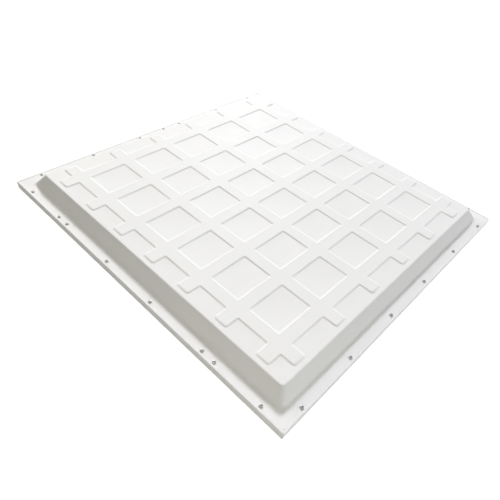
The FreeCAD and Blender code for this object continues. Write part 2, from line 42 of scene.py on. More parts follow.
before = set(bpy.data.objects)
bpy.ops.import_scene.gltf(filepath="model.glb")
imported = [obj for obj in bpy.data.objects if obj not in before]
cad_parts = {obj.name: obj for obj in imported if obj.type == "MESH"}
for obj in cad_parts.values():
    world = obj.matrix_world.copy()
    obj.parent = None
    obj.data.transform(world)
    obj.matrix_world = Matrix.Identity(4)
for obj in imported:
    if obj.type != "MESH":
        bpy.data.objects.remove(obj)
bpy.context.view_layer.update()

MM = 0.001
BODY = "root"
SIDES = ("front", "right", "back", "left")
RIBS_ACROSS = 7         # ribs that run front to back
PLATE_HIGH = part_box("back_plate")[1]
FRAME_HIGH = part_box("frame_rail_front")[1]
BOARDS = sorted(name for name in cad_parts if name.startswith("led_board_"))
TINY = 1e-9             # metres; keeps a division by a distance off zero
WELD = 1e-7             # metres; points closer than this are joined
CORNER_ROOM = 0.98      # share of half an edge that a rounded corner may take up

# The section of a rail, as the CAD rails have it.
RAIL_WIDTH, RAIL_WALL = 10.0 * MM, 1.2 * MM
LIP_WIDTH, SEAT_HEIGHT = 3.3 * MM, 11.0 * MM
BEZEL_WIDTH, BEZEL_THICKNESS = 14.5 * MM, 1.2 * MM
FIN_REACH, FIN_HEIGHT, FIN_THICKNESS = 3.0 * MM, 2.9 * MM, 1.0 * MM

# A pan-head screw; its head's rim is SCREW_HEAD from its axis.
SCREW_HEAD, SCREW_HEIGHT, SCREW_ROUNDING = 2.6 * MM, 1.5 * MM, 0.9 * MM
SCREW_CROWN = 0.12 * MM         # how far the crown rises towards the middle
SCREW_GAP = 3.0 * MM            # a wider gap than this parts two screws
RECESS_ARM, RECESS_WAIST = 1.45 * MM, 0.42 * MM
RECESS_SLOPE, RECESS_DEPTH = 0.14 * MM, 0.8 * MM
RECESS_END = 2.4                # an arm's end slopes this much longer than its sides
SHANK_RADIUS, SHANK_END, SCREW_TIP = 1.45 * MM, -4.9 * MM, -6.5 * MM
DRAW_START, DRAW_RUN = 0.5, 0.4     # shares of the head over which its square turns round
HEAD_LINES = np.array([0.2, 0.36, 0.48, 0.8, 1.15, 1.5, 1.75, 2.05, 2.3, 2.48, 2.57, 2.6]) * MM

# The cable grommet: the first three are distances from its axis.
GROMMET_BORE, GROMMET_INNER, GROMMET_OUTER = 2.6 * MM, 6.2 * MM, 7.0 * MM
GROMMET_LIP, GROMMET_ROUND, GROMMET_PLAY = 1.5 * MM, 0.6 * MM, 0.05 * MM
GROMMET_TURNS = 64              # points round the ring

# Where the plate's grid has its lines.
SLOPE_LINES = np.array([-1.1, -0.5, -0.25, 0, 0.25, 0.5, 1.1])       # in rib blends
INLET_LINES = np.array([-2, -1.4, -1, -0.5, 0, 0.5, 1, 1.4, 2])      # in inlet radii
RIB_CORNER_LINES, RIB_END_LINES = 5, 11     # in a rib's corner, and in all round its end
BEND_LINES = 44                 # from the ribs' ends to the plate's edge
LEAST_STEP = 0.12 * MM          # closer lines than this are left out
INLET_EDGE = 0.999              # share of the inlet's radius; points beyond it stay


def node_middle(name):
    """The middle of a CAD node's box."""
    low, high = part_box(name)
    return (low + high) / 2


# ---------------------------------------------------------------- sizes and colours

def length(label, value, note):
    """A size in metres that the sidebar shows in the scene's unit."""
    return bpy.props.FloatProperty(name=label, description=note, default=value,
                                   min=0.0, unit="LENGTH", precision=5)


def paint(label, value, note):
    """A colour whose default is an sRGB hex value."""
    return bpy.props.FloatVectorProperty(name=label, description=note, subtype="COLOR",
                                         size=3, min=0.0, max=1.0, default=linear(value))


def linear(code):
    """The linear red, green and blue of an sRGB hex value such as #E8E8E6."""
    channels = np.array([int(code[at:at + 2], 16) for at in (1, 3, 5)]) / 255
    low, high = channels / 12.92, ((channels + 0.055) / 1.055) ** 2.4
    return tuple(float(c) for c in np.where(channels <= 0.04045, low, high))


class LedPanelSizes(bpy.types.PropertyGroup):
    """Sizes of the pressed back and the frame that the solids leave crisp."""
    sheet: length("Sheet", 0.5 * MM, "Thickness of the pressed steel")
    deck_inset: length("Deck inset", 30.7 * MM, "Edge of the plate to the edge of its deck")
    deck_height: length("Deck height", 19.3 * MM, "Flange to deck")
    wall_run: length("Wall run", 15.2 * MM, "How far the sloping wall leans in")
    deck_corner: length("Deck corner", 6.0 * MM, "Plan radius of the deck's corners")
    foot_corner: length("Foot corner", 10.0 * MM, "Plan radius of the wall at its foot")
    deck_bend: length("Deck bend", 2.5 * MM, "Bend between deck and sloping wall")
    foot_bend: length("Foot bend", 6.0 * MM, "Bend between sloping wall and flange")
    plate_corner: length("Plate corner", 4.0 * MM, "Plan radius of the plate's corners")
    lattice_inset: length("Lattice inset", 42.0 * MM, "Deck's edge to the outermost rib")
    rib_margin: length("Rib margin", 8.0 * MM, "Deck's edge to the ends of the ribs")
    rib_width: length("Rib width", 21.6 * MM, "Width at half height")
    rib_height: length("Rib height", 1.2 * MM, "How far the ribs stand above the deck")
    rib_blend: length("Rib blend", 2.2 * MM, "Width of the soft slope along each rib")
    rib_corner: length("Rib corner", 4.5 * MM, "Plan radius of the ribs' ends")
    cell_corner: length("Cell corner", 3.0 * MM, "Softness of the sunk cells' corners")
    inlet_radius: length("Inlet radius", 5.0 * MM, "Hole for the cable grommet")
    edge_round: length("Edge rounding", 0.35 * MM, "Rounded edges of the frame's rails")
    mitre_gap: length("Mitre gap", 0.06 * MM, "Half the hairline gap at each mitre")


class LedPanelColours(bpy.types.PropertyGroup):
    """Colours of the finishes."""
    coat: paint("Powder coat", "#F1F1EE", "Steel back")
    rail: paint("Frame coat", "#F1F1EF", "Aluminium frame")
    zinc: paint("Zinc", "#9B9B98", "Screws")
    opal: paint("Opal", "#F1F1EF", "Diffuser")
    rubber: paint("Rubber", "#DCDCD8", "Cable grommet")
    floor: paint("Floor", "#C4C4C2", "Studio floor")


# ---------------------------------------------------------------- mesh tools

def mesh_object(name, points, faces, smooth=True):
    """An object at the origin whose mesh has these points and faces."""
    mesh = bpy.data.meshes.new(name)
    mesh.from_pydata(np.asarray(points, float).tolist(), [], faces)
    mesh.validate()
    mesh.shade_smooth() if smooth else mesh.shade_flat()
    mesh.update()
    piece = bpy.data.objects.new(name, mesh)
    bpy.context.scene.collection.objects.link(piece)
    return piece


def grid_faces(rows, columns, start=0, wrap=False):
    """Quads of a grid of points that are numbered row by row from start.

    With wrap, the last column joins on to the first."""
    across = np.arange(columns if wrap else columns - 1)
    down = np.arange(rows - 1)[:, None]
    following = (across + 1) % columns
    a, b = down * columns + across, down * columns + following
    c, d = (down + 1) * columns + following, (down + 1) * columns + across
    return (np.stack([a, b, c, d], axis=-1).reshape(-1, 4) + start).tolist()


def finish_piece(piece, material, replaced):
    """Gives a new piece its material and body, in place of CAD nodes."""
    piece.data.materials.append(material)
    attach(piece, BODY)
    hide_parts(*replaced)
    return piece


def harden_edges(piece, degrees):
    """Keeps edges sharper than an angle crisp and shades the rest smooth."""
    piece.data.set_sharp_from_angle(angle=math.radians(degrees))


# ---------------------------------------------------------------- material tools

def add_node(tree, kind, inputs=None, **settings):
    """Adds a shader node; each input is a value or the socket that feeds it."""
    node = tree.nodes.new(kind)
    for name, value in settings.items():
        setattr(node, name, value)
    for key, value in (inputs or {}).items():
        if isinstance(value, bpy.types.NodeSocket):
            tree.links.new(value, node.inputs[key])
        else:
            node.inputs[key].default_value = value
    return node


def per_metre(millimetres):
    """The scale of a pattern whose features are this large."""
    return 1.0 / (millimetres * MM)


def new_material(name):
    """An empty node material with its shader and output, and Object coordinates."""
    material = bpy.data.materials.new(name)
    material.use_nodes = True
    tree = material.node_tree
    tree.nodes.clear()
    shader = add_node(tree, "ShaderNodeBsdfPrincipled")
    add_node(tree, "ShaderNodeOutputMaterial", {"Surface": shader.outputs["BSDF"]})
    place = add_node(tree, "ShaderNodeTexCoord").outputs["Object"]
    return material, tree, shader, place


def shades(tree, factor, colour, dark):
    """A colour that a factor from 0 to 1 takes from a darker share of itself to itself."""
    low, high = [c * dark for c in colour] + [1.0], [*colour, 1.0]
    return add_node(tree, "ShaderNodeMix", {"Factor": factor, 6: low, 7: high},
                    data_type="RGBA").outputs[2]


def remap(tree, value, low, high, to_low=0.0, to_high=1.0):
    """Stretches the part of a value between low and high over a new range."""
    return add_node(tree, "ShaderNodeMapRange",
                    {"Value": value, "From Min": low, "From Max": high,
                     "To Min": to_low, "To Max": to_high}).outputs["Result"]


def noise(tree, place, millimetres, detail=2.0):
    """Cloudy noise from 0 to 1 whose blots are this many millimetres across."""
    return add_node(tree, "ShaderNodeTexNoise",
                    {"Vector": place, "Scale": per_metre(millimetres),
                     "Detail": detail}).outputs["Fac"]


def bump(tree, height, depth, strength):
    """A normal from a height whose full range is depth, in millimetres."""
    return add_node(tree, "ShaderNodeBump",
                    {"Height": height, "Distance": depth * MM,
                     "Strength": strength}).outputs["Normal"]


def powder_coat(name, colour, roughness, gloss):
    """White polyester powder coat, sprayed dry and baked until it flows together.

    It gives a matt to satin sheen, as strong as gloss says, with a faint orange peel
    about 2 mm across, and thins to a very slightly darker tone where the powder lay
    unevenly."""
    material, tree, shader, place = new_material(name)
    cloud = remap(tree, noise(tree, place, 90.0, 3.0), 0.3, 0.7)
    tree.links.new(shades(tree, cloud, colour, 0.985), shader.inputs["Base Color"])
    peel = noise(tree, place, 2.2, 2.0)
    tree.links.new(remap(tree, noise(tree, place, 30.0), 0.3, 0.7,
                         roughness - 0.03, roughness + 0.03), shader.inputs["Roughness"])
    tree.links.new(bump(tree, peel, 0.02, 0.5), shader.inputs["Normal"])
    shader.inputs["Specular IOR Level"].default_value = gloss
    return material


def zinc_plate(name, colour):
    """Bright zinc plating on turned steel screws: grey metal, finely mottled all over."""
    material, tree, shader, place = new_material(name)
    mottle = remap(tree, noise(tree, place, 0.8, 4.0), 0.3, 0.7)
    tree.links.new(shades(tree, mottle, colour, 0.75), shader.inputs["Base Color"])
    shader.inputs["Metallic"].default_value = 1.0
    tree.links.new(remap(tree, noise(tree, place, 0.5, 3.0), 0.3, 0.7, 0.28, 0.42),
                   shader.inputs["Roughness"])
    tree.links.new(bump(tree, noise(tree, place, 0.3), 0.01, 0.4), shader.inputs["Normal"])
    return material


def opal_sheet(name, colour):
    """Opal polystyrene, extruded with light-scattering beads and a fine matt texture.

    It gives an even milky white with a soft broad sheen."""
    material, tree, shader, place = new_material(name)
    cloud = remap(tree, noise(tree, place, 140.0, 2.0), 0.3, 0.7)
    tree.links.new(shades(tree, cloud, colour, 0.99), shader.inputs["Base Color"])
    shader.inputs["Roughness"].default_value = 0.48
    shader.inputs["IOR"].default_value = 1.59
    shader.inputs["Subsurface Weight"].default_value = 0.15
    shader.inputs["Subsurface Radius"].default_value = (2 * MM, 2 * MM, 2 * MM)
    shader.inputs["Subsurface Scale"].default_value = 1.0
    grain = add_node(tree, "ShaderNodeTexVoronoi",
                     {"Vector": place, "Scale": per_metre(1.6)}).outputs["Distance"]
    tree.links.new(bump(tree, grain, 0.03, 0.35), shader.inputs["Normal"])
    return material


def moulded(name, colour, roughness, grain_mm=0.8, ior=1.5):
    """An injection-moulded or extruded plastic with a faint grain off its tool."""
    material, tree, shader, place = new_material(name)
    mottle = remap(tree, noise(tree, place, 12.0), 0.3, 0.7)
    tree.links.new(shades(tree, mottle, colour, 0.96), shader.inputs["Base Color"])
    shader.inputs["Roughness"].default_value = roughness
    shader.inputs["IOR"].default_value = ior
    tree.links.new(bump(tree, noise(tree, place, grain_mm), 0.02, 0.4),
                   shader.inputs["Normal"])
    return material


def clear_acrylic(name):
    """Clear moulded acrylic, as the lens caps are: glossy, see-through, faintly wavy."""
    material, tree, shader, place = new_material(name)
    tint = remap(tree, noise(tree, place, 6.0), 0.3, 0.7)
    tree.links.new(shades(tree, tint, linear("#F4F7F8"), 0.98), shader.inputs["Base Color"])
    shader.inputs["Roughness"].default_value = 0.08
    shader.inputs["IOR"].default_value = 1.49
    shader.inputs["Transmission Weight"].default_value = 0.9
    tree.links.new(bump(tree, noise(tree, place, 3.0), 0.01, 0.3), shader.inputs["Normal"])
    return material


def plated_steel(name, colour):
    """Stamped, zinc-plated steel with fine rolling marks along its length."""
    material, tree, shader, place = new_material(name)
    stretched = add_node(tree, "ShaderNodeMapping",
                         {"Vector": place, "Scale": (0.08, 1.0, 1.0)}).outputs["Vector"]
    marks = noise(tree, stretched, 0.6, 3.0)
    tree.links.new(shades(tree, marks, colour, 0.8), shader.inputs["Base Color"])
    shader.inputs["Metallic"].default_value = 1.0
    tree.links.new(remap(tree, marks, 0.3, 0.7, 0.3, 0.45), shader.inputs["Roughness"])
    tree.links.new(bump(tree, marks, 0.01, 0.4), shader.inputs["Normal"])
    return material


# ---------------------------------------------------------------- back plate

def rounded_rectangle(x, y, half_x, half_y, radius):
    """Distance to a rectangle with rounded corners, negative inside: the distance from
    the rectangle shrunk by the radius, less the radius."""
    over_x = np.abs(x) - (half_x - radius)
    over_y = np.abs(y) - (half_y - radius)
    outside = np.hypot(np.maximum(over_x, 0), np.maximum(over_y, 0))
    return outside + np.minimum(np.maximum(over_x, over_y), 0) - radius


def soft_minimum(a, b, softness):
    """The lower of two values, rounded off where they differ by less than softness."""
    share = np.clip(0.5 + 0.5 * (b - a) / softness, 0, 1)
    return b * (1 - share) + a * share - softness * share * (1 - share)


class PlateForm:
    """The surface of the pressed plate, worked out from its sizes."""

    def __init__(self, sizes):
        self.sizes = sizes
        self.half = PLATE_HIGH.x
        self.flange = PLATE_HIGH.z - sizes.rib_height - sizes.deck_height
        self.deck = self.flange + sizes.deck_height
        self.deck_half = self.half - sizes.deck_inset
        self.rib_end = self.deck_half - sizes.rib_margin
        lattice = self.deck_half - sizes.lattice_inset
        self.columns = np.linspace(-lattice, lattice, RIBS_ACROSS)
        self.rows = np.array([node_middle(name).y for name in BOARDS])
        self.lean = math.atan2(sizes.deck_height, sizes.wall_run)

    def inlet(self):
        """The middle of the cable inlet, half way up the back wall."""
        sizes = self.sizes
        return np.array([node_middle("cable_grommet").x, self.deck_half + sizes.wall_run / 2,
                         self.flange + sizes.deck_height / 2])

    def outward(self, x, y):
        """How far out from the deck's edge a point lies, measured along the wall's run.

        From the deck to the foot the wall is a rounded square that grows with its share
        of the run, and its corner radius grows too. Between the corners that share is
        plain; in a corner it solves |point - centre| = radius, where the share moves
        the centre and the radius alike, which is a quadratic in the share."""
        sizes = self.sizes
        radius, growth = sizes.deck_corner, sizes.foot_corner - sizes.deck_corner
        shift = sizes.wall_run - growth
        far = np.maximum(np.abs(x), np.abs(y))
        gap_x = np.abs(x) - self.deck_half + radius
        gap_y = np.abs(y) - self.deck_half + radius
        a = 2 * shift ** 2 - growth ** 2
        b = shift * (gap_x + gap_y) + radius * growth
        c = gap_x ** 2 + gap_y ** 2 - radius ** 2
        corner = (b - np.sqrt(np.maximum(b ** 2 - a * c, 0))) / a
        in_corner = np.minimum(gap_x, gap_y) > shift * corner
        share = np.where(in_corner, corner, (far - self.deck_half) / sizes.wall_run)
        return share * sizes.wall_run

    def wall(self, outward):
        """Height at a distance outward from the deck's edge: the level deck, a bend that
        is an arc, the straight slope, an arc the other way, and the level flange."""
        sizes, lean = self.sizes, self.lean
        top, foot = sizes.deck_bend, sizes.foot_bend
        top_reach = top * math.tan(lean / 2)
        foot_reach = foot * math.tan(lean / 2)
        slope = self.deck - outward * math.tan(lean)
        crest = self.deck - top + np.sqrt(np.maximum(top ** 2 - (outward + top_reach) ** 2, 0))
        gap = sizes.wall_run + foot_reach - outward
        trough = self.flange + foot - np.sqrt(np.maximum(foot ** 2 - gap ** 2, 0))
        return np.select(
            [outward < -top_reach, outward < top_reach * math.cos(lean),
             outward < sizes.wall_run - foot_reach * math.cos(lean),
             outward < sizes.wall_run + foot_reach],
            [np.full_like(outward, self.deck), crest, slope, trough], self.flange)

    def rib_distance(self, x, y):
        """Distance to the nearest rib's edge, softened where two ribs cross."""
        sizes = self.sizes
        width = sizes.rib_width / 2
        across = np.min([rounded_rectangle(x - at, y, width, self.rib_end, sizes.rib_corner)
                         for at in self.columns], axis=0)
        along = np.min([rounded_rectangle(x, y - at, self.rib_end, width, sizes.rib_corner)
                        for at in self.rows], axis=0)
        return soft_minimum(across, along, sizes.cell_corner)

    def height(self, x, y):
        """The plate's upper surface: the pressed wall, and the ribs on its deck, whose
        sides follow the smooth step 3t^2 - 2t^3."""
        sizes = self.sizes
        step = np.clip(0.5 - self.rib_distance(x, y) / sizes.rib_blend, 0, 1)
        return self.wall(self.outward(x, y)) + sizes.rib_height * step ** 2 * (3 - 2 * step)

    def lines(self, ribs, extra=()):
        """Where the grid's lines cross an axis: close at the ribs' slopes and in the
        bends of the wall, wide on the flat."""
        sizes = self.sizes
        slope = sizes.rib_blend * SLOPE_LINES
        places = [np.array(extra, float)]
        for at in ribs:
            for edge in (at - sizes.rib_width / 2, at + sizes.rib_width / 2):
                places.append(edge + slope)
        outer = (np.arange(RIB_END_LINES) * (sizes.rib_corner / RIB_CORNER_LINES)
                 + self.rib_end - sizes.rib_corner)
        bends = np.linspace(outer[-1], self.half, BEND_LINES)[1:]
        for band in (outer, bends):
            places += [band, -band]
        lines = np.unique(np.round(np.concatenate(places), 6))
        keep = np.concatenate([[True], np.diff(lines) > LEAST_STEP])
        return np.clip(lines[keep], -self.half, self.half)


def round_rim(form, x, y):
    """Draws the square corners of the grid in to the plate's rounded corners: a square
    ring about each corner's centre becomes a round one of the same size."""
    radius = form.sizes.plate_corner
    middle = form.half - radius
    over_x, over_y = np.abs(x) - middle, np.abs(y) - middle
    corner = (over_x > 0) & (over_y > 0)
    ring = np.maximum(over_x, over_y)
    share = np.where(corner, ring / np.maximum(np.hypot(over_x, over_y), TINY), 1)
    new_x = np.where(corner, np.sign(x) * (middle + over_x * share), x)
    new_y = np.where(corner, np.sign(y) * (middle + over_y * share), y)
    return new_x, new_y


def open_inlet(form, x, y, centre):
    """Draws the grid's lines round the cable inlet, and says which points lie inside.

    Seen square on, a square ring about the hole's middle becomes a round one. The pull
    fades to nothing at twice the hole's radius."""
    radius = form.sizes.inlet_radius
    slant = math.cos(form.lean)
    a, b = x - centre.x, (y - centre.y) / slant
    ring = np.maximum(np.abs(a), np.abs(b))
    pull = ring / np.maximum(np.hypot(a, b), TINY) - 1
    pull = 1 + pull * np.clip(2 - ring / radius, 0, 1)
    inside = ring < radius * INLET_EDGE
    return centre.x + a * pull, centre.y + b * pull * slant, inside


def surface_normals(points):
    """Unit normals of a grid of points, from its differences along both directions."""
    normal = np.cross(np.gradient(points, axis=0), np.gradient(points, axis=1))
    return normal / np.linalg.norm(normal, axis=-1, keepdims=True)


def border(mask):
    """Directed edges around the kept cells of a grid, as pairs of point numbers."""
    rows, columns = mask.shape
    padded = np.pad(mask, 1)
    number = np.arange((rows + 1) * (columns + 1)).reshape(rows + 1, columns + 1)
    edges = []
    for shift, start, end in (((-1, 0), (0, 0), (0, 1)), ((0, 1), (0, 1), (1, 1)),
                              ((1, 0), (1, 1), (1, 0)), ((0, -1), (1, 0), (0, 0))):
        beside = padded[1 + shift[0]:1 + shift[0] + rows, 1 + shift[1]:1 + shift[1] + columns]
        at = np.argwhere(mask & ~beside)
        edges.append(np.stack([number[at[:, 0] + start[0], at[:, 1] + start[1]],
                               number[at[:, 0] + end[0], at[:, 1] + end[1]]], axis=1))
    return np.concatenate(edges)


class LEDPANEL_OT_back_plate(bpy.types.Operator):
    """Build the pressed steel back as one sheet with soft bends"""
    bl_idname = "ledpanel.back_plate"
    bl_label = "Back plate"

    def execute(self, context):
        sizes = context.scene.led_panel_sizes
        form = PlateForm(sizes)
        inlet = Vector(form.inlet())
        reach = sizes.inlet_radius * INLET_LINES
        x_lines = form.lines(form.columns, inlet.x + reach)
        y_lines = form.lines(form.rows, inlet.y + reach * math.cos(form.lean))
        x, y = np.meshgrid(x_lines, y_lines, indexing="ij")
        x, y = round_rim(form, x, y)
        x, y, inside = open_inlet(form, x, y, inlet)
        top = np.stack([x, y, form.height(x, y)], axis=-1)
        under = top - surface_normals(top) * sizes.sheet
        kept = ~(inside[:-1, :-1] & inside[1:, 1:] | inside[1:, :-1] & inside[:-1, 1:])
        quads = np.array(grid_faces(*x.shape)).reshape(kept.size, 4)[kept.ravel()]
        rim = border(kept)
        faces = (quads[:, ::-1].tolist() + (quads + x.size).tolist()
                 + np.stack([rim[:, 0], rim[:, 1], rim[:, 1] + x.size,
                             rim[:, 0] + x.size], axis=1).tolist())
        points = np.concatenate([top.reshape(-1, 3), under.reshape(-1, 3)])
        piece = mesh_object("pressed_back", points, faces)
        harden_edges(piece, degrees=60)
        coat = context.scene.led_panel_colours.coat
        finish_piece(piece, powder_coat("powder_coated_steel", coat, 0.45, gloss=0.03),
                     ["back_plate"])
        return {"FINISHED"}


# ---------------------------------------------------------------- frame rails

def rounded_outline(corners, radius, steps=3):
    """A closed outline whose corners are arcs: each corner is cut back to where the arc
    touches, and the points between follow the arc of that radius."""
    points = []
    corners = np.asarray(corners, float)
    for before, corner, after in zip(np.roll(corners, 1, 0), corners,
                                     np.roll(corners, -1, 0)):
        back, ahead = before - corner, after - corner
        room = min(np.linalg.norm(back), np.linalg.norm(ahead)) / 2
        back, ahead = back / np.linalg.norm(back), ahead / np.linalg.norm(ahead)
        reach = min(radius, room * CORNER_ROOM)
        for turn in np.linspace(0, math.pi / 2, steps + 1):
            points.append(corner + back * reach * (1 - math.sin(turn))
                          + ahead * reach * (1 - math.cos(turn)))
    return np.array(points)


def rail_profile(sizes):
    """The rail's outline and hollow, as (distance from the middle, height)."""
    half = FRAME_HIGH.x
    inner = half - RAIL_WIDTH
    lip, bezel, fin = half - LIP_WIDTH, half - BEZEL_WIDTH, inner - FIN_REACH
    fin_top = FIN_HEIGHT + FIN_THICKNESS
    outline = [(half, 0), (half, FRAME_HIGH.z), (lip, FRAME_HIGH.z), (lip, SEAT_HEIGHT),
               (inner, SEAT_HEIGHT), (inner, fin_top), (fin, fin_top), (fin, FIN_HEIGHT),
               (inner, FIN_HEIGHT), (inner, BEZEL_THICKNESS), (bezel, BEZEL_THICKNESS),
               (bezel, 0)]
    ceiling = SEAT_HEIGHT - RAIL_WALL
    hollow = [(half - RAIL_WALL, BEZEL_THICKNESS), (half - RAIL_WALL, ceiling),
              (inner + RAIL_WALL, ceiling), (inner + RAIL_WALL, BEZEL_THICKNESS)]
    return rounded_outline(outline, sizes.edge_round), rounded_outline(hollow, sizes.edge_round)


def rail_mesh(sizes):
    """The front rail: its profile carried from mitre to mitre, where each point ends as
    far from the middle along the rail as it lies from the middle across it."""
    outline, hollow = rail_profile(sizes)
    profile = np.concatenate([outline, hollow])
    count = len(profile)
    ends = []
    for side in (-1, 1):
        along = side * (profile[:, 0] - sizes.mitre_gap)
        ends.append(np.stack([along, -profile[:, 0], profile[:, 1]], axis=1))
    points = np.concatenate(ends)
    faces = []
    for start, size, turned in ((0, len(outline), False), (len(outline), len(hollow), True)):
        ring = start + np.arange(size)
        following = start + (np.arange(size) + 1) % size
        quad = np.stack([ring, following, following + count, ring + count], axis=1)
        faces += (quad[:, ::-1] if turned else quad).tolist()
    loops = [[Vector((u, z, 0)) for u, z in loop] for loop in (outline, hollow)]
    cap = np.array(tessellate_polygon(loops))
    faces += cap.tolist() + (cap[:, ::-1] + count).tolist()
    return points, faces


class LEDPANEL_OT_frame_rails(bpy.types.Operator):
    """Build the four mitred rails with rounded edges"""
    bl_idname = "ledpanel.frame_rails"
    bl_label = "Frame rails"

    def execute(self, context):
        sizes = context.scene.led_panel_sizes
        coat = powder_coat("powder_coated_aluminium", context.scene.led_panel_colours.rail,
                           0.55, gloss=0.25)
        points, faces = rail_mesh(sizes)
        for quarter, side in enumerate(SIDES):
            turn = np.array(Matrix.Rotation(quarter * math.pi / 2, 3, "Z"))
            piece = mesh_object(f"rail_{side}", points @ turn.T, faces)
            mend_normals(piece)
            harden_edges(piece, degrees=35)
            finish_piece(piece, coat, [f"frame_rail_{side}"])
        return {"FINISHED"}


def mend_normals(piece):
    """Turns every face of a closed mesh outwards."""
    work = bmesh.new()
    work.from_mesh(piece.data)
    bmesh.ops.remove_doubles(work, verts=work.verts, dist=WELD)
    bmesh.ops.recalc_face_normals(work, faces=work.faces)
    work.to_mesh(piece.data)
    work.free()


# ---------------------------------------------------------------- screws

def screw_points(turn):
    """A pan-head screw whose seat is at the origin, in rings and a square grid.

    The head is a grid over a square that is drawn in to a disc towards its rim. Its
    height is a pan: a gentle crown that rounds off over the rim, less a cross recess
    whose arms have sloping sides. The shank is rings down to a point."""
    line = np.concatenate([-HEAD_LINES[::-1], [0], HEAD_LINES])
    a, b = np.meshgrid(line, line, indexing="ij")
    ring = np.maximum(np.abs(a), np.abs(b))
    share = ring / np.maximum(np.hypot(a, b), TINY)
    draw = np.clip((ring / SCREW_HEAD - DRAW_START) / DRAW_RUN, 0, 1)
    pull = 1 + (share - 1) * draw
    x, y = a * pull, b * pull
    far = np.minimum(np.hypot(x, y), SCREW_HEAD)
    over = np.clip(far - (SCREW_HEAD - SCREW_ROUNDING), 0, SCREW_ROUNDING)
    z = SCREW_HEIGHT - SCREW_ROUNDING + np.sqrt(np.maximum(SCREW_ROUNDING ** 2 - over ** 2, 0))
    z = z + SCREW_CROWN * (1 - (far / SCREW_HEAD) ** 2)
    for u, v in ((x, y), (y, x)):
        into = np.clip(np.minimum((RECESS_WAIST - np.abs(u)) / RECESS_SLOPE,
                                  (RECESS_ARM - np.abs(v)) / (RECESS_END * RECESS_SLOPE)), 0, 1)
        z = np.minimum(z, SCREW_HEIGHT - RECESS_DEPTH * into + SCREW_CROWN * (1 - into))
    top = np.stack([x, y, z], axis=-1)
    size = len(line)
    number = np.arange(size * size).reshape(size, size)
    rim = np.concatenate([number[:-1, 0], number[-1, :-1], number[:0:-1, -1], number[0, :0:-1]])
    edge = top.reshape(-1, 3)[rim]
    out = edge[:, :2] / np.linalg.norm(edge[:, :2], axis=1, keepdims=True)
    rings = [np.column_stack([out * radius, np.full(len(rim), level)])
             for radius, level in ((SCREW_HEAD, 0.0), (SHANK_RADIUS, 0.0),
                                   (SHANK_RADIUS, SHANK_END))]
    tip = np.array([[0, 0, SCREW_TIP]])
    points = np.concatenate([top.reshape(-1, 3), *rings, tip])
    faces = np.array(grid_faces(size, size))[:, ::-1].tolist()
    loops = [rim] + [size * size + index * len(rim) + np.arange(len(rim)) for index in range(3)]
    for upper, lower in zip(loops, loops[1:]):
        faces += np.stack([upper, lower, np.roll(lower, -1), np.roll(upper, -1)],
                          axis=1).tolist()
    last = loops[-1]
    faces += [[int(p), int(q), len(points) - 1][::-1] for p, q in zip(last, np.roll(last, -1))]
    spin = np.array(Matrix.Rotation(turn, 3, "Z"))
    return points @ spin.T, faces


def screw_places(node):
    """Where each screw of a CAD group stands, from the gaps between its solids."""
    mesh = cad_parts[node].data
    points = np.empty(len(mesh.vertices) * 3)
    mesh.vertices.foreach_get("co", points)
    points = points.reshape(-1, 3)
    low, high = points.min(axis=0), points.max(axis=0)
    axis = int(np.argmax((high - low)[:2]))
    order = np.unique(np.round(points[:, axis], 6))
    breaks = np.flatnonzero(np.diff(order) > SCREW_GAP)
    starts = order[np.concatenate([[0], breaks + 1])]
    ends = order[np.concatenate([breaks, [len(order) - 1]])]
    across = (low[1 - axis] + high[1 - axis]) / 2
    seat = high[2] - SCREW_HEIGHT
    places = []
    for middle in (starts + ends) / 2:
        spot = [0.0, 0.0, seat]
        spot[axis], spot[1 - axis] = middle, across
        places.append(spot)
    return places


class LEDPANEL_OT_screws(bpy.types.Operator):
    """Build the cross-recess screws, each turned to its own angle"""
    bl_idname = "ledpanel.screws"
    bl_label = "Screws"

    def execute(self, context):
        zinc = zinc_plate("zinc_plated_steel", context.scene.led_panel_colours.zinc)
        angles = np.random.default_rng(29)
        for side in SIDES:
            points, faces = [], []
            for spot in screw_places(f"screws_{side}"):
                new_points, new_faces = screw_points(angles.uniform(0, math.pi / 2))
                start = sum(len(block) for block in points)
                points.append(new_points + np.array(spot))
                faces += [[index + start for index in face] for face in new_faces]
            piece = mesh_object(f"screws_{side}_pan_head", np.concatenate(points), faces)
            mend_normals(piece)
            harden_edges(piece, degrees=40)
            finish_piece(piece, zinc, [f"screws_{side}"])
        return {"FINISHED"}


# ---------------------------------------------------------------- grommet

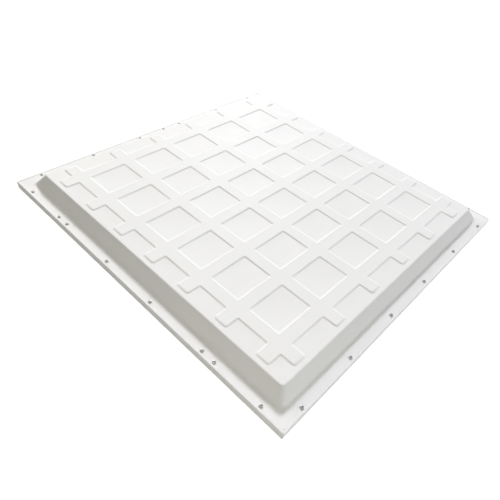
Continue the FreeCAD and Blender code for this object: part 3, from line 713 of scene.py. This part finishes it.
class LEDPANEL_OT_grommet(bpy.types.Operator):
    """Build the rubber grommet of the cable inlet"""
    bl_idname = "ledpanel.grommet"
    bl_label = "Cable grommet"

    def execute(self, context):
        sizes = context.scene.led_panel_sizes
        form = PlateForm(sizes)
        under, waist = -sizes.sheet, sizes.inlet_radius - GROMMET_PLAY
        corners = [(GROMMET_BORE, under - GROMMET_LIP), (GROMMET_INNER, under - GROMMET_LIP),
                   (GROMMET_INNER, under), (waist, under), (waist, 0), (GROMMET_OUTER, 0),
                   (GROMMET_OUTER, GROMMET_LIP), (GROMMET_BORE, GROMMET_LIP)]
        outline = rounded_outline(corners, GROMMET_ROUND, steps=4)
        turns = np.linspace(0, 2 * math.pi, GROMMET_TURNS, endpoint=False)
        radius, level = outline[:, 0][:, None], outline[:, 1][:, None]
        local = np.stack([radius * np.cos(turns), radius * np.sin(turns),
                          level + 0 * turns], axis=-1).reshape(-1, 3)
        lean = np.array(Matrix.Rotation(-form.lean, 3, "X"))
        faces = grid_faces(len(outline) + 1, len(turns), wrap=True)
        faces = (np.array(faces) % len(local)).tolist()
        piece = mesh_object("inlet_grommet", local @ lean.T + form.inlet(), faces)
        mend_normals(piece)
        harden_edges(piece, degrees=50)
        rubber = moulded("moulded_rubber", context.scene.led_panel_colours.rubber, 0.6, 1.2)
        finish_piece(piece, rubber, ["cable_grommet"])
        return {"FINISHED"}


# ---------------------------------------------------------------- kept CAD nodes

def dress(prefix, material):
    """Gives a material to every CAD node whose name starts so."""
    for name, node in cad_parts.items():
        if name.startswith(prefix):
            node.data.materials.clear()
            node.data.materials.append(material)


class LEDPANEL_OT_diffuser(bpy.types.Operator):
    """Finish the opal diffuser"""
    bl_idname = "ledpanel.diffuser"
    bl_label = "Diffuser"

    def execute(self, context):
        dress("diffuser", opal_sheet("opal_polystyrene", context.scene.led_panel_colours.opal))
        return {"FINISHED"}


class LEDPANEL_OT_light_engine(bpy.types.Operator):
    """Finish the LED strips and everything else inside"""
    bl_idname = "ledpanel.light_engine"
    bl_label = "Light engine"

    def execute(self, context):
        dress("corner_key", plated_steel("zinc_plated_key_steel", linear("#A9A9A6")))
        dress("reflector_film", moulded("white_polyester_film", linear("#F3F3F2"), 0.35, 0.6))
        dress("thermal_tape", moulded("adhesive_tape", linear("#D9D8CF"), 0.7, 0.5))
        dress("led_board", moulded("white_solder_mask", linear("#EFEFEA"), 0.4, 0.5))
        dress("led_chips", moulded("phosphor_silicone", linear("#E8D24A"), 0.35, 0.4, 1.41))
        dress("led_lenses", clear_acrylic("clear_acrylic"))
        dress("board_connectors", moulded("moulded_nylon", linear("#EDEBE0"), 0.45, 0.6, 1.53))
        dress("jumper_wires", moulded("wire_insulation", linear("#B23A32"), 0.4, 0.5, 1.53))
        return {"FINISHED"}


# ---------------------------------------------------------------- studio

# The viewpoint of a camera fitted to the frame's corners, the ribs and the walls.
CAMERA_PLACE = (0.38612, -0.53383, 0.51694)
CAMERA_RIGHT = (0.71956718, 0.68409710, 0.11930726)
CAMERA_UP = (-0.54149290, 0.44519436, 0.71315316)
CAMERA_BACK = (0.43475109, -0.57776564, 0.69078097)
CAMERA_LENS = 33.686
CAMERA_CLIP = (0.01, 50.0)      # metres

# name, place in metres, size in metres, power in watts, red, green and blue shares
LAMPS = (
    ("key_back_left", (-3.7, 4.24, 4.09), 1.0, 446.0, (0.98, 0.98, 1.065)),
    ("fill_back_right", (1.45, 1.1, 0.85), 1.0, 9.6, (0.97, 1.0, 1.02)),
    ("fill_left", (-1.7, 0.0, 0.95), 1.2, 15.9, (1.03, 1.01, 0.88)),
    ("fill_above", (0.0, 0.0, 2.0), 1.5, 3.2, (1.02, 1.0, 0.95)),
    ("fill_near", (0.6, -1.0, 0.5), 0.6, 3.65, (1.03, 1.0, 0.93)),
    ("fill_right_low", (1.6, 0.2, 0.15), 0.28, 3.6, (0.98, 0.98, 1.05)),
)
FLOOR_GLOW = 0.8        # lifts the floor to white where nothing shades it
FLOOR_HALF = 6.0        # metres from the panel's middle to the floor's edges


def make_camera():
    """The camera that sees the panel as the photo does."""
    data = bpy.data.cameras.new("camera")
    data.lens = CAMERA_LENS
    data.clip_start, data.clip_end = CAMERA_CLIP
    camera = bpy.data.objects.new("camera", data)
    turn = Matrix((CAMERA_RIGHT, CAMERA_UP, CAMERA_BACK)).transposed().to_4x4()
    camera.matrix_world = Matrix.Translation(CAMERA_PLACE) @ turn
    bpy.context.scene.collection.objects.link(camera)
    bpy.context.scene.camera = camera


def make_lamp(name, place, size, power, colour):
    """A square soft lamp that faces the panel."""
    data = bpy.data.lights.new(name, "AREA")
    data.size, data.energy, data.color = size, power, colour
    lamp = bpy.data.objects.new(name, data)
    lamp.location = place
    lamp.rotation_mode = "QUATERNION"
    lamp.rotation_quaternion = (-Vector(place)).to_track_quat("-Z", "Y")
    lamp.visible_camera = False
    bpy.context.scene.collection.objects.link(lamp)


def seen_directly(tree):
    """1 where the camera, a reflection or a see-through part looks at the surface, and
    0 where the surface only lights another one."""
    path = add_node(tree, "ShaderNodeLightPath").outputs
    either = add_node(tree, "ShaderNodeMath",
                      {0: path["Is Camera Ray"], 1: path["Is Glossy Ray"]},
                      operation="MAXIMUM").outputs[0]
    return add_node(tree, "ShaderNodeMath",
                    {0: either, 1: path["Is Transmission Ray"]},
                    operation="MAXIMUM").outputs[0]


def make_world():
    """White where it is looked at or reflected; the matt light comes from the lamps."""
    world = bpy.data.worlds.new("studio")
    world.use_nodes = True
    tree = world.node_tree
    tree.nodes.clear()
    white = add_node(tree, "ShaderNodeBackground",
                     {"Color": (1, 1, 1, 1), "Strength": seen_directly(tree)})
    add_node(tree, "ShaderNodeOutputWorld", {"Surface": white.outputs[0]})
    bpy.context.scene.world = world


def make_floor(colour):
    """A smooth pale floor that keeps the panel's soft shadow and is white beyond it."""
    corners = [(x * FLOOR_HALF, y * FLOOR_HALF, 0)
               for x, y in ((-1, -1), (1, -1), (1, 1), (-1, 1))]
    floor = mesh_object("studio_floor", corners, [[0, 1, 2, 3]], smooth=False)
    material, tree, shader, place = new_material("matt_painted_board")
    cloud = remap(tree, noise(tree, place, 400.0), 0.3, 0.7)
    tree.links.new(shades(tree, cloud, colour, 0.995), shader.inputs["Base Color"])
    shader.inputs["Roughness"].default_value = 0.9
    glow = add_node(tree, "ShaderNodeMath", {0: seen_directly(tree), 1: FLOOR_GLOW},
                    operation="MULTIPLY")
    shader.inputs["Emission Color"].default_value = (1, 1, 1, 1)
    tree.links.new(glow.outputs[0], shader.inputs["Emission Strength"])
    floor.data.materials.append(material)


class LEDPANEL_OT_studio(bpy.types.Operator):
    """Set up the floor, lamps and camera"""
    bl_idname = "ledpanel.studio"
    bl_label = "Studio"

    def execute(self, context):
        make_floor(context.scene.led_panel_colours.floor)
        make_world()
        for lamp in LAMPS:
            make_lamp(*lamp)
        make_camera()
        context.scene.view_settings.view_transform = "Standard"
        return {"FINISHED"}


# ---------------------------------------------------------------- add-on

OPERATORS = (LEDPANEL_OT_back_plate, LEDPANEL_OT_frame_rails, LEDPANEL_OT_screws,
             LEDPANEL_OT_grommet, LEDPANEL_OT_diffuser, LEDPANEL_OT_light_engine,
             LEDPANEL_OT_studio)


class LEDPANEL_PT_sidebar(bpy.types.Panel):
    """Buttons for each piece, and the sizes and colours they read"""
    bl_label = "LED panel"
    bl_idname = "LEDPANEL_PT_sidebar"
    bl_space_type = "VIEW_3D"
    bl_region_type = "UI"
    bl_category = "LED panel"

    def draw(self, context):
        for operator in OPERATORS:
            self.layout.operator(operator.bl_idname)
        for group in (context.scene.led_panel_sizes, context.scene.led_panel_colours):
            for name in group.__annotations__:
                self.layout.prop(group, name)


CLASSES = (LedPanelSizes, LedPanelColours, *OPERATORS, LEDPANEL_PT_sidebar)


def register():
    for item in CLASSES:
        bpy.utils.register_class(item)
    bpy.types.Scene.led_panel_sizes = bpy.props.PointerProperty(type=LedPanelSizes)
    bpy.types.Scene.led_panel_colours = bpy.props.PointerProperty(type=LedPanelColours)


def unregister():
    del bpy.types.Scene.led_panel_colours
    del bpy.types.Scene.led_panel_sizes
    for item in reversed(CLASSES):
        bpy.utils.unregister_class(item)


def main():
    register()
    bpy.ops.ledpanel.back_plate()
    bpy.ops.ledpanel.frame_rails()
    bpy.ops.ledpanel.screws()
    bpy.ops.ledpanel.grommet()
    bpy.ops.ledpanel.diffuser()
    bpy.ops.ledpanel.light_engine()
    bpy.ops.ledpanel.studio()


if __name__ == "__main__":
    main()
